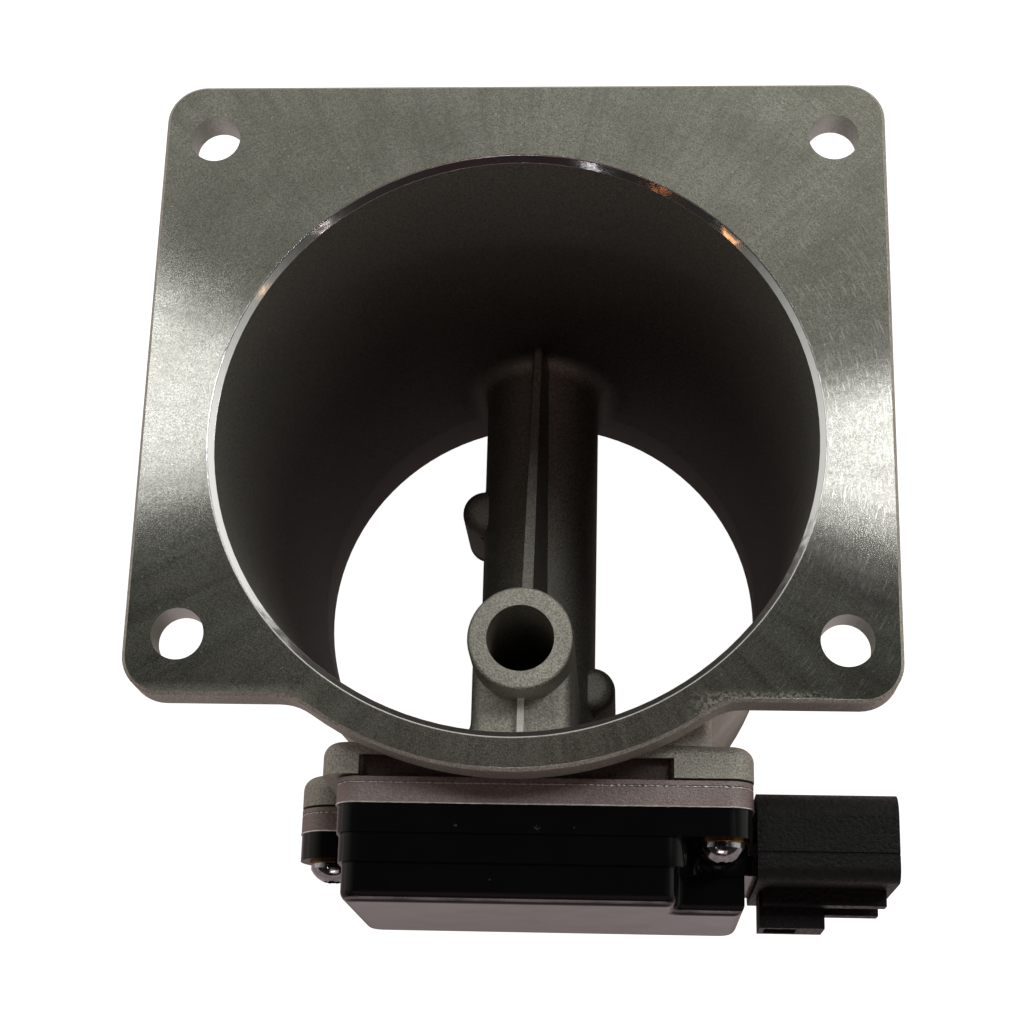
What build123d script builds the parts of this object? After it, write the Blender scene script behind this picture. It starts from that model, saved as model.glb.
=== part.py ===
from build123d import *
import os
from math import sqrt

# Mass airflow sensor: a cast duct with a sampling tube, and an electronics module bolted to its side.
# Millimetres. +Z points upstream along the bore axis, and z = 0 is the outlet rim that it stands on.
# The module is on the -Y side, and its connector opens towards +X.

# Cylinders and boxes that stand on their place, or hang from it
LOW = (Align.CENTER, Align.CENTER, Align.MIN)
HIGH = (Align.CENTER, Align.CENTER, Align.MAX)

# Duct
mouth_dia = 90.0
bore_taper = 8.8
body_length = 108.0
spigot_wall = 3.4
spigot_length = 22.0
outlet_relief = 0.8
duct_wall = 3.3
mouth_chamfer = 0.9
rim_chamfer = 0.6

# Inlet flange
flange_side_margin = 11.0
flange_top_margin = 13.1
flange_bottom_cut = 4.7
flange_thickness = 5.7
flange_corner_radius = 6.0
flange_ring_width = 5.7
flange_ring_blend = 8.0
flange_root_fillet = 1.6
flange_edge_round = 0.5
stud_hole_dia = 7.7
stud_inset_side = 7.9
stud_inset_top = 9.3
stud_inset_bottom = 9.0

# Bridge: the crossbar in the bore that carries the bypass channel
bridge_offset_x = 0.3
bar_width = 20.8
bar_bottom_z = 12.0
bar_top_z = 36.0
bar_root_fillet = 3.2
pillar_root_fillet = 5.2
rib_crest_width_port = 2.2
rib_crest_width_wall = 1.2
rib_root_width_port = 5.0
rib_root_width_wall = 3.4
rib_crest_z_port = 47.0
rib_crest_z_wall = 40.0
rib_crest_shift_port = -1.4
rib_crest_shift_wall = -0.3
boss_dia = 8.4
boss_top_z = 30.0
boss_left_y = 13.8
boss_right_behind_port = 5.3
boss_reach = 10.2
boss_edge_round = 2.6
boss_blend = 1.8

# Sampling tube and the pillar that joins it to the module wall
port_from_wall = 19.7
port_above_pillar = 7.4
port_outer_dia = 16.6
port_bore_dia = 10.6
port_edge_round = 0.6
pillar_width = 16.0
pillar_roof = 2.6
pillar_edge_round = 2.4
pillar_rib_width = 1.1
pillar_rib_height = 1.6

# Bypass channel, open downstream and closed by a screwed cover
channel_width = 14.0
channel_depth = 17.0
channel_behind_port = 0.4
channel_end_wall = 9.0
cover_plate_thickness = 2.0
cover_plate_end_gap = 1.8
cover_slot_width = 11.0
cover_slot_length = 8.0
cover_slot_inset = 5.0
cover_screw_dia = 3.0
cover_screw_head_dia = 5.6
cover_screw_head_height = 2.0
cover_screw_length = 10.0
cover_screw_slot = 0.8
cover_screw_round = 0.8
cover_ear_gap = 0.15

# Electronics module: its outline seen along Y
module_width = 60.4
module_height = 38.0
module_centre_x = 5.0
module_below_flange = 1.8
module_corner_radius = 3.6
lug_radius = 5.3
screw_a_inset_x = 4.6
screw_a_inset_z = 4.9
screw_b_outset_x = 3.9
screw_b_inset_z = 7.0

# Module stack, counted from the bore axis towards -Y
pad_stand = 4.85
pad_thickness = 5.0
pad_back_round = 2.2
pad_overhang_left = 2.2
pad_overhang_right = 0.1
pad_relief_depth = 2.9
pad_relief_inset_left = 3.4
pad_relief_inset_right = 11.5
pad_relief_height = 2.0
neck_inset_left = 4.0
neck_inset_right = 6.0
neck_sink = 12.0
gasket_thickness = 0.35
gasket_inset = 1.2
gasket_hole_gap = 0.3
base_thickness = 3.8
base_line_depth = 0.25
base_line_width = 0.3
base_line_offset = 0.7
housing_step = 0.2
flange_band = 4.15
upper_band = 4.15
upper_band_step = 0.35
cover_height = 5.6
cover_step = 0.55
cover_roof = 2.0
cover_edge_round = 1.6
housing_wall = 2.4

# Notch beside screw A that lets the driver in
notch_width = 9.4
notch_height = 9.2
notch_corner_radius = 2.2
notch_mouth_round = 3.2
cover_notch_step = 1.7
cover_notch_radius = 1.2
cover_notch_wall = 1.2
cover_mouth_round = 1.8

# Module screws and their sleeves
module_screw_dia = 4.0
module_screw_gap = 0.2
module_screw_length = 12.4
module_screw_tip_gap = 0.4
screw_head_dia = 7.0
screw_head_height = 2.9
screw_dome_height = 2.1
screw_recess_dia = 2.9
screw_recess_depth = 1.7
sleeve_outer_dia = 5.8
sleeve_collar_dia = 7.6
sleeve_collar_height = 0.4
fit_gap = 0.05

# Seal ring between module base and housing
seal_width = 0.9
seal_depth = 0.8
seal_inset = 0.7

# Connector
connector_gap = 0.85
connector_length = 20.4
connector_shorter = 8.0
connector_below_notch = 11.8
connector_depth = 13.0
connector_stand = 1.0
connector_near_round = 3.6
connector_far_round = 2.2
connector_wall = 2.2
socket_corner_radius = 1.4
socket_depth = 14.5
groove_beyond_seam = 1.2
groove_size = 0.5
guide_rib_height = 2.4
guide_rib_width = 3.0
guide_rib_spacing = 11.0
guide_rib_inset = 1.2
latch_inset = 0.8
latch_length = 9.6
latch_width = 7.4
latch_height = 5.4
latch_window_length = 4.8
latch_window_depth = 2.0
latch_window_width = 5.0
neck_gap = 0.3
neck_inset = 3.5

# Terminals
terminal_count = 6
terminal_pitch = 3.6
terminal_width = 1.5
terminal_thickness = 0.8
terminal_beyond_seam = 2.0
terminal_reach = 9.0
terminal_inner_length = 5.6
terminal_jog_inset = 1.2
shelf_end_wall = 1.0
shelf_overlap = 1.0
jumper_width = 0.8
jumper_thickness = 0.3
jumper_rise = 1.2
jumper_foot = 1.0

# Circuit board and what it carries
board_gap = 1.5
board_thickness = 1.0
board_corner_radius = 1.0
chip_size = 9.0
chip_height = 1.8
chip_from_centre = 5.4
chip_below_top = 11.0
chip_leads_a_side = 7
lead_pitch = 1.1
lead_width = 0.4
lead_length = 1.2
transistor_width = 6.5
transistor_length = 6.0
transistor_height = 2.3
transistor_tab_width = 5.2
transistor_tab_reach = 1.0
transistor_tab_thickness = 0.6
transistor_inset = 8.4
transistor_below_top = 10.0
capacitor_count = 4
capacitor_length = 3.2
capacitor_width = 1.6
capacitor_height = 1.4
capacitor_pitch = 4.4
capacitor_above_bottom = 6.6
capacitor_inset = 9.4

# Sensing stem and elements
stem_dia = 9.0
stem_above_bottom = 7.8
stem_bore_gap = 0.2
stem_tip_short = 7.0
stem_flange_dia = 11.2
stem_flange_thickness = 1.2
ring_groove_dia = 6.6
ring_groove_width = 1.7
ring_groove_inset = 4.6
prong_dia = 0.7
prong_spacing_x = 3.6
prong_spacing_z = 3.4
prong_tip_short = 3.2
prong_stand = 1.4
element_dia = 0.7
element_cap = 0.9

# Places worked out from the sizes above: duct and flange
outlet_bore_dia = mouth_dia - bore_taper
spigot_dia = outlet_bore_dia + 2 * spigot_wall
outlet_relief_dia = outlet_bore_dia + 2 * outlet_relief
flange_under_z = body_length - flange_thickness
flange_ring_dia = mouth_dia + 2 * flange_ring_width
flange_side_x = mouth_dia / 2 + flange_side_margin
flange_top_y = mouth_dia / 2 + flange_top_margin
flange_bottom_y = flange_bottom_cut - mouth_dia / 2
stud_x = flange_side_x - stud_inset_side
stud_top_y = flange_top_y - stud_inset_top
stud_bottom_y = flange_bottom_y + stud_inset_bottom

# Module in X and Z
module_left = module_centre_x - module_width / 2
module_right = module_centre_x + module_width / 2
module_top = flange_under_z - module_below_flange
module_bottom = module_top - module_height
module_centre_z = (module_top + module_bottom) / 2
notch_from_x = module_right - notch_width
notch_from_z = module_top - notch_height
screw_a = (module_right - screw_a_inset_x, module_top - screw_a_inset_z)
screw_b = (module_left - screw_b_outset_x, module_bottom + screw_b_inset_z)
screw_sites = (screw_a, screw_b)
pad_relief_from_x = module_left + pad_relief_inset_left
pad_relief_to_x = module_right - pad_relief_inset_right

# Module stack, as distances from the bore axis
pad_face = mouth_dia / 2 + pad_stand
base_near = pad_face + gasket_thickness
base_far = base_near + base_thickness
band_seam = base_far + flange_band
housing_far = band_seam + upper_band
board_far = base_far + board_thickness
head_seat = band_seam + sleeve_collar_height
module_hole_depth = module_screw_length - (head_seat - pad_face) + module_screw_tip_gap
screw_dome_radius = (screw_head_dia**2 / 4 + screw_dome_height**2) / (2 * screw_dome_height)

# Housing cavity and board
cavity_left = module_left + housing_step + housing_wall
cavity_right = notch_from_x - cover_notch_step - cover_notch_wall
cavity_bottom = module_bottom + housing_step + housing_wall
cavity_top = module_top - housing_step - housing_wall
board_left, board_right = cavity_left + board_gap, cavity_right - board_gap
board_bottom, board_top = cavity_bottom + board_gap, cavity_top - board_gap
board_centre_x = (board_left + board_right) / 2
board_centre_z = (board_bottom + board_top) / 2

# Connector and terminals
connector_back = module_right - housing_step + connector_gap
connector_mouth = connector_back + connector_length
connector_centre_z = notch_from_z - connector_below_notch
connector_height = module_height - connector_shorter
connector_bottom = connector_centre_z - connector_height / 2
connector_far_y = -housing_far - connector_stand
connector_near_y = connector_far_y + connector_depth
connector_centre_y = (connector_near_y + connector_far_y) / 2
socket_floor = connector_mouth - socket_depth
groove_y = -band_seam - groove_beyond_seam
neck_bottom = connector_bottom + neck_inset
neck_top = notch_from_z - neck_gap
shelf_right = module_right - housing_step - housing_wall
terminal_inner_y = -band_seam - terminal_beyond_seam
terminal_inner_x = shelf_right - terminal_inner_length

# Bridge, stem and bypass
port_y = port_from_wall - mouth_dia / 2
bar_half = bar_width / 2
bar_round_z = bar_top_z - bar_half
stem_z = module_bottom + stem_above_bottom
stem_bore_dia = stem_dia + 2 * stem_bore_gap
stem_tip = stem_tip_short - port_y
prong_tip = prong_tip_short - port_y
ring_groove_at = pad_face - ring_groove_inset
pillar_top_z = stem_z + stem_bore_dia / 2 + pillar_roof
port_top_z = pillar_top_z + port_above_pillar
channel_start_y = port_y - port_bore_dia / 2 - channel_behind_port
channel_end_y = mouth_dia / 2 - channel_end_wall
cover_plate_bottom_z = bar_bottom_z - cover_plate_thickness
boss_right_y = port_y + boss_right_behind_port
boss_sites = ((bridge_offset_x - boss_reach, boss_left_y), (bridge_offset_x + boss_reach, boss_right_y))
prong_sites = [
    (bridge_offset_x + i * prong_spacing_x / 2, stem_z + k * prong_spacing_z / 2)
    for k in (-1, 1)
    for i in (-1, 1)
]


def bore_radius(z):
    """Inside radius of the duct at height z: a straight taper from outlet to mouth."""
    return (outlet_bore_dia + (mouth_dia - outlet_bore_dia) * z / body_length) / 2


def side_layer(outline, near, thickness):
    """A slab with its outline given in X and Z, from this distance off the bore axis towards -Y."""
    return extrude(Plane.XZ.offset(near) * outline, thickness)


def side_pin(x, z, near, far, diameter):
    """A round bar along Y between two distances from the bore axis."""
    return side_layer(Pos(x, z) * Circle(diameter / 2), near, far - near)


def module_outline(inset, with_lug=True):
    """The module's rounded rectangle, with the lug of screw B where it has one."""
    radius = module_corner_radius - inset / 2
    width, height = module_width - 2 * inset, module_height - 2 * inset
    outline = Pos(module_centre_x, module_centre_z) * RectangleRounded(width, height, radius)
    if with_lug:
        reach = module_centre_x - screw_b[0]
        web = Pos(*screw_b) * Pos(reach / 2, 0) * Rectangle(reach, 2 * lug_radius - inset)
        outline = outline + web + Pos(*screw_b) * Circle(lug_radius - inset / 2)
    return outline


def notched_outline(inset, corner_x, corner_radius, mouth_round):
    """The outline without lug, with the driver's pocket beside screw A cut from its corner."""
    reach = 3 * lug_radius
    corner_z = notch_from_z - inset
    pocket = RectangleRounded(reach, reach, corner_radius)
    pocket = Pos(corner_x + reach / 2, corner_z + reach / 2) * pocket
    full_inset = housing_step + upper_band_step + inset
    outline = module_outline(full_inset, False) - pocket
    mouth = outline.vertices().sort_by_distance((corner_x, module_top - full_inset, 0))[0]
    return fillet(mouth, mouth_round)


def band_outline():
    """Outline of the housing's upper band."""
    return notched_outline(0, notch_from_x, notch_corner_radius, notch_mouth_round)


def cover_outline():
    """Outline of the cover, a step inside the upper band."""
    corner_x = notch_from_x - cover_notch_step
    return notched_outline(cover_step, corner_x, cover_notch_radius, cover_mouth_round)


def duct_shell():
    """Tapered tube with a straight hose spigot at the outlet and the square flange at the inlet."""
    spigot_r = spigot_dia / 2
    shoulder_r = bore_radius(spigot_length) + duct_wall
    profile = Polyline(
        (0, 0),
        (spigot_r - rim_chamfer, 0),
        (spigot_r, rim_chamfer),
        (spigot_r, spigot_length),
        (shoulder_r, spigot_length + (shoulder_r - spigot_r)),
        (bore_radius(flange_under_z) + duct_wall, flange_under_z),
        (0, flange_under_z),
        close=True,
    )
    tube = revolve(Plane.XZ * make_face(profile), Axis.Z)
    plate_height = flange_top_y - flange_bottom_y
    plate_y = (flange_top_y + flange_bottom_y) / 2
    plate = Pos(0, plate_y) * RectangleRounded(2 * flange_side_x, plate_height, flange_corner_radius)
    outline = plate + Circle(flange_ring_dia / 2)
    flange = extrude(Pos(0, 0, flange_under_z) * outline, flange_thickness)
    inner_corners = [
        e for e in flange.edges().filter_by(Axis.Z)
        if abs(e.center().Y - flange_bottom_y) < 0.01 and abs(e.center().X) < flange_ring_dia / 2
    ]
    flange = fillet(inner_corners, flange_ring_blend)
    flange = chamfer(flange.faces().sort_by(Axis.Z)[-1].outer_wire().edges(), flange_edge_round)
    shell = tube + flange
    root_r = bore_radius(flange_under_z) + duct_wall
    root = [
        e for e in shell.edges().filter_by(GeomType.CIRCLE)
        if abs(e.center().Z - flange_under_z) < 0.01 and abs(e.radius - root_r) < 0.01
    ]
    return fillet(root, flange_root_fillet)


def pad_slab(outline):
    """Part of the module pad, rounded along its back edge."""
    slab = side_layer(outline, pad_face - pad_thickness, pad_thickness)
    return fillet(slab.faces().sort_by(Axis.Y)[-1].outer_wire().edges(), pad_back_round)


def module_mounting():
    """Pad, screw lug and neck that hold the module against the duct."""
    pad_from = module_left - pad_overhang_left
    pad_to = module_right + pad_overhang_right
    pad_outline = Pos((pad_from + pad_to) / 2, module_centre_z) * RectangleRounded(
        pad_to - pad_from, module_height, module_corner_radius
    )
    pad = pad_slab(pad_outline) + pad_slab(Pos(*screw_b) * Circle(lug_radius))
    neck_from = module_left + neck_inset_left
    neck_to = module_right - neck_inset_right
    neck_outline = Pos((neck_from + neck_to) / 2, module_centre_z) * RectangleRounded(
        neck_to - neck_from, module_height - module_corner_radius, module_corner_radius / 2
    )
    neck_start = outlet_bore_dia / 2 - neck_sink
    neck = side_layer(neck_outline, neck_start, pad_face - pad_thickness - neck_start)
    relief_width = pad_relief_to_x - pad_relief_from_x
    relief = Pos(pad_relief_from_x + relief_width / 2, module_top) * Rectangle(
        relief_width, 2 * pad_relief_height
    )
    return pad + neck - side_layer(relief, pad_face - pad_relief_depth, pad_relief_depth)


def bar_rib():
    """Tapered rib along the crossbar's upstream side, higher at the sampling tube."""
    sections = []
    at_port = (port_y, rib_crest_z_port, rib_crest_width_port, rib_root_width_port, rib_crest_shift_port)
    at_wall = (mouth_dia / 2, rib_crest_z_wall, rib_crest_width_wall, rib_root_width_wall, rib_crest_shift_wall)
    for y, crest_z, crest_width, root_width, shift in (at_port, at_wall):
        outline = Polyline(
            (-root_width / 2, bar_round_z),
            (-root_width / 2, bar_top_z - 1),
            (shift - crest_width / 2, crest_z),
            (shift + crest_width / 2, crest_z),
            (root_width / 2, bar_top_z - 1),
            (root_width / 2, bar_round_z),
            close=True,
        )
        sections.append(Plane.XZ.offset(-y) * make_face(outline))
    return loft(sections)


def bridge_body():
    """Crossbar with a half-round top, the pillar and the sampling tube."""
    reach = mouth_dia / 2
    bar_side = Pos(0, (bar_bottom_z + bar_round_z) / 2) * Rectangle(bar_width, bar_round_z - bar_bottom_z)
    bar = extrude(Plane.XZ.offset(-reach) * (bar_side + Pos(0, bar_round_z) * Circle(bar_half)), 2 * reach)
    pillar_depth = reach + port_y
    pillar = Pos(0, port_y - pillar_depth / 2, bar_bottom_z) * Box(
        pillar_width, pillar_depth, pillar_top_z - bar_bottom_z, align=LOW
    )
    pillar = fillet(pillar.edges().filter_by(Axis.Y).sort_by(Axis.Z)[-2:], pillar_edge_round)
    tube = Pos(0, port_y, bar_bottom_z) * Cylinder(
        port_outer_dia / 2, port_top_z - bar_bottom_z, align=LOW
    )
    tube = fillet(tube.edges().sort_by(Axis.Z)[-1], port_edge_round)
    return Pos(bridge_offset_x, 0, 0) * (bar + pillar + tube) & bore_core()


def bridge_ribs():
    """Ribs on the crossbar and the pillar."""
    pillar_depth = mouth_dia / 2 + port_y
    pillar_rib = Pos(0, port_y - pillar_depth / 2, pillar_top_z - 1) * Box(
        pillar_rib_width, pillar_depth, 1 + pillar_rib_height, align=LOW
    )
    return Pos(bridge_offset_x, 0, 0) * (bar_rib() + pillar_rib) & bore_core()


def bore_core():
    """The bore's own volume and a little of its wall, to trim what crosses it."""
    return Cone(bore_radius(0) + 1, bore_radius(body_length) + 1, body_length, align=LOW)


def on_bore(edge):
    """True for an edge where the bridge runs into the bore's tapered wall."""
    points = (edge @ 0.1, edge @ 0.5, edge @ 0.9)
    on_wall = all(abs(sqrt(p.X**2 + p.Y**2) - bore_radius(p.Z)) < 0.01 for p in points)
    return on_wall and abs(points[1].X) < bar_half + 1 and 0.1 < points[1].Z < flange_under_z


def bridged_duct():
    """Duct, module mounting and bridge, with the large fillets where the bridge meets the wall."""
    bore = Cone(bore_radius(0), bore_radius(body_length), body_length, align=LOW)
    casting = duct_shell() + module_mounting() - bore
    mouth = [
        e for e in casting.edges().filter_by(GeomType.CIRCLE)
        if abs(e.radius - mouth_dia / 2) < 0.01 and e.center().Z > flange_under_z
    ]
    casting = chamfer(mouth, mouth_chamfer) + bridge_body()
    casting = fillet([e for e in casting.edges() if on_bore(e) and e.center().Y > 0], bar_root_fillet)
    casting = fillet([e for e in casting.edges() if on_bore(e) and e.center().Y < 0], pillar_root_fillet)
    return casting - Cylinder(outlet_relief_dia / 2, bar_bottom_z, align=LOW)


def cover_bosses():
    """Round bosses for the cover's two screws, blended into the crossbar's straight sides."""
    outline = Pos(bridge_offset_x, 0) * Rectangle(bar_width, mouth_dia * 0.8)
    bosses = []
    for x, y in boss_sites:
        outline += Pos(x, y) * Circle(boss_dia / 2)
        boss = Pos(x, y, bar_bottom_z) * Cylinder(boss_dia / 2, boss_top_z - bar_bottom_z, align=LOW)
        bosses.append(fillet(boss.edges().sort_by(Axis.Z)[-1], boss_edge_round))
    inner_corners = [
        v for v in outline.vertices()
        if any(abs(Vector(v.X - x, v.Y - y).length - boss_dia / 2) < 0.01 for x, y in boss_sites)
    ]
    webs = extrude(Pos(0, 0, bar_bottom_z) * fillet(inner_corners, boss_blend), bar_round_z - bar_bottom_z)
    return [*bosses, webs]


def main_casting():
    """Duct, flange, bridge and module mounting, cast and then machined as one piece."""
    casting = bridged_duct() + bridge_ribs() + cover_bosses()
    channel_length = channel_end_y - channel_start_y
    channel = Pos(bridge_offset_x, channel_start_y + channel_length / 2, bar_bottom_z) * extrude(
        RectangleRounded(channel_width, channel_length, channel_width / 3), channel_depth
    )
    port = Pos(bridge_offset_x, port_y, bar_bottom_z) * Cylinder(
        port_bore_dia / 2, body_length, align=LOW
    )
    casting = casting - channel - port
    casting -= side_pin(bridge_offset_x, stem_z, -port_y, pad_face, stem_bore_dia)
    for x, z in screw_sites:
        casting -= side_pin(x, z, pad_face - module_hole_depth, pad_face, module_screw_dia + 2 * fit_gap)
    for x, y in boss_sites:
        casting -= Pos(x, y, bar_bottom_z) * Cylinder(
            cover_screw_dia / 2 + fit_gap, cover_screw_length, align=LOW
        )
    for x in (-stud_x, stud_x):
        for y in (stud_bottom_y, stud_top_y):
            casting -= Pos(x, y, flange_under_z) * Cylinder(stud_hole_dia / 2, flange_thickness, align=LOW)
    return casting


def base_gasket():
    """Flat gasket between casting and module base, with holes for the stem and the screws."""
    stem_hole = Pos(bridge_offset_x, stem_z) * Circle(stem_dia / 2 + stem_bore_gap)
    outline = module_outline(gasket_inset) - stem_hole
    window = Pos(module_centre_x, module_top) * Rectangle(
        pad_relief_to_x - pad_relief_from_x, 2 * pad_relief_height
    )
    gasket = side_layer(outline - window, pad_face, gasket_thickness)
    for x, z in screw_sites:
        gasket -= side_pin(x, z, pad_face, base_near, module_screw_dia + 2 * gasket_hole_gap)
    return gasket


def module_base():
    """Cast aluminium plate that carries the board, the stem and the housing."""
    base = side_layer(module_outline(0), base_near, base_thickness)
    ring = module_outline(-1) - module_outline(base_line_depth)
    base -= side_layer(ring, base_near + base_line_offset, base_line_width)
    seal = module_outline(seal_inset, False) - module_outline(seal_inset + seal_width, False)
    base -= side_layer(seal - seal_gap(), base_far - seal_depth, seal_depth)
    base -= side_pin(bridge_offset_x, stem_z, base_near, base_far, stem_dia + 2 * fit_gap)
    base -= side_pin(
        bridge_offset_x, stem_z, base_far - stem_flange_thickness, base_far, stem_flange_dia + 2 * fit_gap
    )
    for x, z in screw_sites:
        base -= side_pin(x, z, base_near, base_far, module_screw_dia + 2 * module_screw_gap)
    return base


def seal_gap():
    """Where the seal ring steps aside for screw A."""
    return Pos(*screw_a) * Circle(lug_radius)


def housing_seal():
    """Silicone bead that lies in the base's groove, under the housing's rim."""
    outside = module_outline(seal_inset + fit_gap, False)
    inside = module_outline(seal_inset + seal_width - fit_gap, False)
    return side_layer(outside - inside - seal_gap(), base_far - seal_depth, seal_depth)


def cavity_outline():
    """Inside of the housing, kept clear of screw A's corner."""
    centre = Pos((cavity_left + cavity_right) / 2, (cavity_bottom + cavity_top) / 2)
    return centre * RectangleRounded(
        cavity_right - cavity_left, cavity_top - cavity_bottom, module_corner_radius / 2
    )


def shelf_outline():
    """Space over the terminals' inner ends, beside the main cavity."""
    high = notch_from_z - cover_step - shelf_end_wall
    left = cavity_right - shelf_overlap
    centre = Pos((left + shelf_right) / 2, (neck_bottom + high) / 2)
    return centre * Rectangle(shelf_right - left, high - neck_bottom)


def connector_body():
    """Shroud with guide ribs and a latch block, before its socket is cut."""
    along_x = (Align.MIN, Align.CENTER, Align.CENTER)
    block = Pos(connector_back, connector_centre_y, connector_centre_z) * Box(
        connector_length, connector_depth, connector_height, align=along_x
    )
    along = block.edges().filter_by(Axis.X).sort_by(Axis.Y)
    far_edges, near_edges = along[:2], along[2:]
    block = fillet(near_edges, connector_near_round)
    far_edges = block.edges().filter_by(Axis.X).sort_by(Axis.Y)[:2]
    block = fillet(far_edges, connector_far_round)
    for side in (-1, 1):
        z = connector_centre_z + side * connector_height / 2
        block -= Pos(connector_back, groove_y, z) * Box(
            connector_length, groove_size, groove_size, align=along_x
        )
    hung = (Align.MIN, Align.MAX, Align.CENTER)
    for side in (-1, 1):
        z = connector_centre_z + side * guide_rib_spacing / 2
        block += Pos(connector_back + guide_rib_inset, connector_far_y, z) * Box(
            connector_length - 2 * guide_rib_inset, guide_rib_height, guide_rib_width, align=hung
        )
    latch = Pos(connector_back + latch_inset, connector_far_y, connector_centre_z) * Box(
        latch_length, latch_height, latch_width, align=hung
    )
    window_x = connector_back + 2 * latch_inset
    window = Pos(window_x, connector_far_y - latch_height, connector_centre_z) * Box(
        latch_window_length, 2 * latch_window_depth, latch_window_width, align=along_x
    )
    return block + (latch - window)


def terminal(index):
    """One flat blade: inner end on the shelf, a jog in the connector's back wall, and the free tip."""
    z = connector_centre_z + (index - (terminal_count - 1) / 2) * terminal_pitch
    half = terminal_thickness / 2
    lean = half * (sqrt(2) - 1)
    jog_x = connector_back + terminal_jog_inset
    spine = (
        (terminal_inner_x, terminal_inner_y, 0),
        (jog_x, terminal_inner_y, lean),
        (jog_x + connector_centre_y - terminal_inner_y, connector_centre_y, lean),
        (socket_floor + terminal_reach, connector_centre_y, 0),
    )
    upper = [(x - shift, y + half) for x, y, shift in spine]
    lower = [(x + shift, y - half) for x, y, shift in reversed(spine)]
    outline = make_face(Polyline(*upper, *lower, close=True))
    blade = extrude(outline, terminal_width / 2, both=True)
    blade = chamfer(blade.edges().filter_by(Axis.Z).sort_by(Axis.X)[-2:], terminal_thickness / 4)
    return Pos(0, 0, z) * blade


def connector_neck():
    """Solid bridge between the housing's side wall and the back of the connector."""
    neck_to = connector_back + connector_far_round
    centre = Pos((shelf_right + neck_to) / 2, (neck_bottom + neck_top) / 2)
    neck = centre * Rectangle(neck_to - shelf_right, neck_top - neck_bottom)
    return side_layer(neck, -groove_y, housing_far + groove_y)


def module_housing():
    """Black moulded frame round the board, with its neck and connector in one piece."""
    body = side_layer(module_outline(housing_step), base_far, flange_band)
    body += side_layer(band_outline(), band_seam, upper_band)
    body -= side_layer(cavity_outline(), base_far, housing_far - base_far)
    shelf_near = -terminal_inner_y + terminal_thickness / 2
    body -= side_layer(shelf_outline(), shelf_near, housing_far - shelf_near)
    body = body + connector_neck() + connector_body()
    socket = Pos(socket_floor, connector_centre_y, connector_centre_z) * Box(
        socket_depth,
        connector_depth - 2 * connector_wall,
        connector_height - 2 * connector_wall,
        align=(Align.MIN, Align.CENTER, Align.CENTER),
    )
    body -= fillet(socket.edges().filter_by(Axis.X), socket_corner_radius)
    for index in range(terminal_count):
        body -= terminal(index)
    for x, z in screw_sites:
        body -= side_pin(x, z, base_far, band_seam, sleeve_outer_dia + 2 * fit_gap)
    return body


def housing_cover():
    """Domed lid with rounded edges that closes the housing."""
    lid = side_layer(cover_outline(), housing_far, cover_height)
    lid = fillet(lid.faces().sort_by(Axis.Y)[0].outer_wire().edges(), cover_edge_round)
    inside = cavity_outline() + shelf_outline()
    return lid - side_layer(inside, housing_far, cover_height - cover_roof)


def compression_sleeves():
    """Brass sleeves that take the screw load through the plastic lugs."""
    sleeves = []
    for x, z in screw_sites:
        sleeve = side_pin(x, z, base_far, head_seat, sleeve_outer_dia)
        sleeve += side_pin(x, z, band_seam, head_seat, sleeve_collar_dia)
        sleeves.append(sleeve - side_pin(x, z, base_far, head_seat, module_screw_dia + module_screw_gap))
    return sleeves


def module_screws():
    """Pan-head screws with a lobed recess, one in each lug."""
    screws = []
    for x, z in screw_sites:
        shank = side_pin(x, z, head_seat - module_screw_length, head_seat, module_screw_dia)
        head = side_pin(x, z, head_seat, head_seat + screw_head_height, screw_head_dia)
        crown_y = screw_dome_radius - head_seat - screw_head_height
        head = head & Pos(x, crown_y, z) * Sphere(screw_dome_radius)
        recess_near = head_seat + screw_head_height - screw_recess_depth
        star = Circle(screw_recess_dia / 2)
        for lobe in PolarLocations(screw_recess_dia / 2, 6):
            star -= lobe * Circle(screw_recess_dia / 9)
        screws.append(shank + head - side_layer(Pos(x, z) * star, recess_near, screw_recess_depth))
    return screws


def circuit_board():
    """Board bonded to the base, with holes for the four prongs."""
    outline = RectangleRounded(board_right - board_left, board_top - board_bottom, board_corner_radius)
    board = side_layer(Pos(board_centre_x, board_centre_z) * outline, base_far, board_thickness)
    for x, z in prong_sites:
        board -= side_pin(x, z, base_far, board_far, prong_dia + 2 * fit_gap)
    return board


def control_chip():
    """Signal chip with a row of leads on each side."""
    chip_x, chip_z = board_centre_x + chip_from_centre, board_top - chip_below_top
    body = side_layer(Pos(chip_x, chip_z) * Rectangle(chip_size, chip_size), board_far, chip_height)
    body = chamfer(body.faces().sort_by(Axis.Y)[0].edges(), chip_height / 6)
    for side in (-1, 1):
        for lead in GridLocations(0, lead_pitch, 1, chip_leads_a_side):
            place = Pos(chip_x + side * (chip_size + lead_length) / 2, chip_z) * lead
            body += side_layer(place * Rectangle(lead_length, lead_width), board_far, chip_height / 2)
    return body


def driver_transistor():
    """Power transistor lying on its tab."""
    centre = Pos(board_left + transistor_inset, board_top - transistor_below_top)
    tab_outline = Rectangle(transistor_tab_width, 2 * transistor_tab_reach)
    tab_outline = centre * Pos(0, transistor_length / 2) * tab_outline
    tab = side_layer(tab_outline, board_far, transistor_tab_thickness)
    body = side_layer(centre * Rectangle(transistor_width, transistor_length), board_far, transistor_height)
    return chamfer(body.faces().sort_by(Axis.Y)[0].edges(), transistor_height / 6) + tab


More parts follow.
